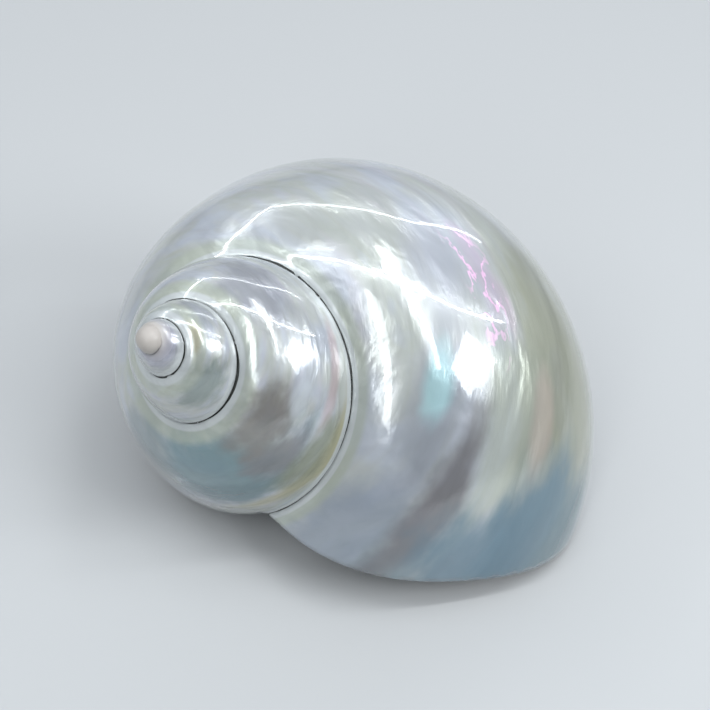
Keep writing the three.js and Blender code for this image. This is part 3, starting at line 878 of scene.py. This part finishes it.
# %% Grow the shell
up = Vector((0, 0, 1))
to_floor = plane_normal(FLOOR_PLANE).rotation_difference(up).to_matrix()
stand = (Matrix.Rotation(HEADING, 3, "Z") @ to_floor).to_euler("XYZ")
shell.modifiers.new("grow", "NODES").node_group = grow
values = {**RULE, **RELIEF, "Stand": tuple(stand), "Material": nacre}
for item in grow.interface.items_tree:
    if item.in_out == "INPUT" and item.name in values:
        shell.modifiers["grow"][item.identifier] = values[item.name]
evaluated = shell.evaluated_get(bpy.context.evaluated_depsgraph_get())
grown_mesh = bpy.data.meshes.new_from_object(evaluated)
shell.modifiers.clear()
shell.data = grown_mesh
corners = np.empty(len(grown_mesh.vertices) * 3)
grown_mesh.vertices.foreach_get("co", corners)
low, high = corners.reshape(-1, 3).min(axis=0), corners.reshape(-1, 3).max(axis=0)
box_low, box_high = SHELL_BOX
shift = (box_low + box_high) / 2 - Vector((low + high) / 2)
shift.z = box_low.z - low[2]
grown_mesh.transform(Matrix.Translation(shift))
print("the grown shell is", ((high - low) / MM).round(2), "mm")
print("it was moved by", [round(v / MM, 2) for v in shift], "mm")

# %% Hand the shell over to the frame
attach(shell, "root")
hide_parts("shell")

# %% [markdown]
# ## The camera
# The camera looks down on the shell from the side of the spire, about halfway between level and
# straight down, and rolled a little, so that the spire and the whole last turn are in view.

# %% Camera
VIEW = {"elevation": math.radians(47.7), "roll": math.radians(9.1), "distance": 170.8 * MM,
        "aim": Vector((-1.07, -0.30, 17.95)) * MM, "lens_mm": 71.0}
camera = bpy.data.objects.new("camera", bpy.data.cameras.new("camera"))
camera.data.lens = VIEW["lens_mm"]
camera.data.clip_start = 0.005
tipped = Matrix.Rotation(math.pi / 2 - VIEW["elevation"], 4, "X")
turned = tipped @ Matrix.Rotation(VIEW["roll"], 4, "Z")
stepped_back = Matrix.Translation((0, 0, VIEW["distance"]))
camera.matrix_world = Matrix.Translation(VIEW["aim"]) @ turned @ stepped_back
bpy.context.scene.collection.objects.link(camera)
bpy.context.scene.camera = camera
print("the camera stands at", [round(v / MM, 1) for v in camera.matrix_world.translation], "mm")

# %% [markdown]
# ## Floor and light
# A plain pale floor, and the light of a small studio. Soft light comes mostly from behind and above,
# one soft bar hangs over the shell, and two soft lamps stand at the side and in front. Four thin
# strip lamps hang in one open outline and draw fine white lines on the polish.

# %% Floor
floor_mesh = bpy.data.meshes.new("floor")
FLOOR_HALF = 12.0                   # wide enough to reach the horizon in a low view
floor_mesh.from_pydata([(-FLOOR_HALF, -FLOOR_HALF, 0), (FLOOR_HALF, -FLOOR_HALF, 0),
                        (FLOOR_HALF, FLOOR_HALF, 0), (-FLOOR_HALF, FLOOR_HALF, 0)], [], [(0, 1, 2, 3)])
floor = bpy.data.objects.new("floor", floor_mesh)
bpy.context.scene.collection.objects.link(floor)
plaster = bpy.data.materials.new("matt_plaster")
plaster.use_nodes = True
plaster_shader = plaster.node_tree.nodes["Principled BSDF"]
plaster_shader.inputs["Base Color"].default_value = linear("b6b7b7")
plaster_shader.inputs["Roughness"].default_value = 0.9
floor_mesh.materials.append(plaster)

# %% Lamps
LAMP_COLOUR = (0.93, 0.97, 1.0)


def lamp(name, where, look_at, width, height, watts):
    light = bpy.data.lights.new(name, "AREA")
    light.shape, light.size, light.size_y, light.energy = "RECTANGLE", width, height, watts
    light.color = LAMP_COLOUR
    holder = bpy.data.objects.new(name, light)
    aim = Vector(look_at) - Vector(where)
    holder.matrix_world = Matrix.Translation(where) @ aim.to_track_quat("-Z", "Y").to_matrix().to_4x4()
    bpy.context.scene.collection.objects.link(holder)
    return holder


SOFT_FROM = (-0.23, 0.62, 0.75)     # the soft light comes mostly from behind and above
# The corners of the outline, seen from above, in metres; the bars hang level at one height.
OUTLINE = {"corners": [(0.57, 0.78), (-0.37, 0.44), (-0.61, -0.41), (-0.17, -0.12),
                       (0.77, 0.22)],
           "height": 0.5, "thick": 0.012, "radiance": 34.0}
SOFT_BAR = {"corners": [(0.05, 0.13), (0.31, -0.31)],
            "height": 0.45, "thick": 0.045, "radiance": 11.5}


def bar(name, start, end, kind):
    """One long lamp that hangs level and shines down."""
    run = Vector(end) - Vector(start)
    watts = kind["radiance"] * math.pi * run.length * kind["thick"]
    holder = lamp(name, (0, 0, 0), (0, 0, -1), run.length, kind["thick"], watts)
    middle = ((Vector(start) + Vector(end)) / 2).to_3d() + Vector((0, 0, kind["height"]))
    holder.matrix_world = Matrix.Translation(middle) @ Matrix.Rotation(math.atan2(run.y, run.x), 4, "Z")


for number, (start, end) in enumerate(zip(OUTLINE["corners"], OUTLINE["corners"][1:])):
    bar(f"strip_{number}", start, end, OUTLINE)
bar("soft_bar", *SOFT_BAR["corners"], SOFT_BAR)
lamp("soft_side", (0.41, -0.11, 0.32), (0.01, -0.01, 0.025), 0.22, 0.135, 0.98)
lamp("soft_front", (-0.127, -0.349, 0.355), (0, 0, 0.02), 0.07, 0.40, 0.65)
world = bpy.data.worlds.new("studio")
world.use_nodes = True
sky = world.node_tree
towards = add(sky, "ShaderNodeTexCoord", output="Generated")
uphill = add(sky, "ShaderNodeVectorMath", [towards, SOFT_FROM], output="Value", operation="DOT_PRODUCT")
softness = add(sky, "ShaderNodeMapRange", {0: uphill, 1: -0.5, 2: 1.0, 3: 0.10, 4: 0.64})
sky.links.new(softness, sky.nodes["Background"].inputs["Strength"])
sky.nodes["Background"].inputs["Color"].default_value = linear("dae2ee")
bpy.context.scene.world = world
bpy.context.scene.view_settings.view_transform = "Standard"
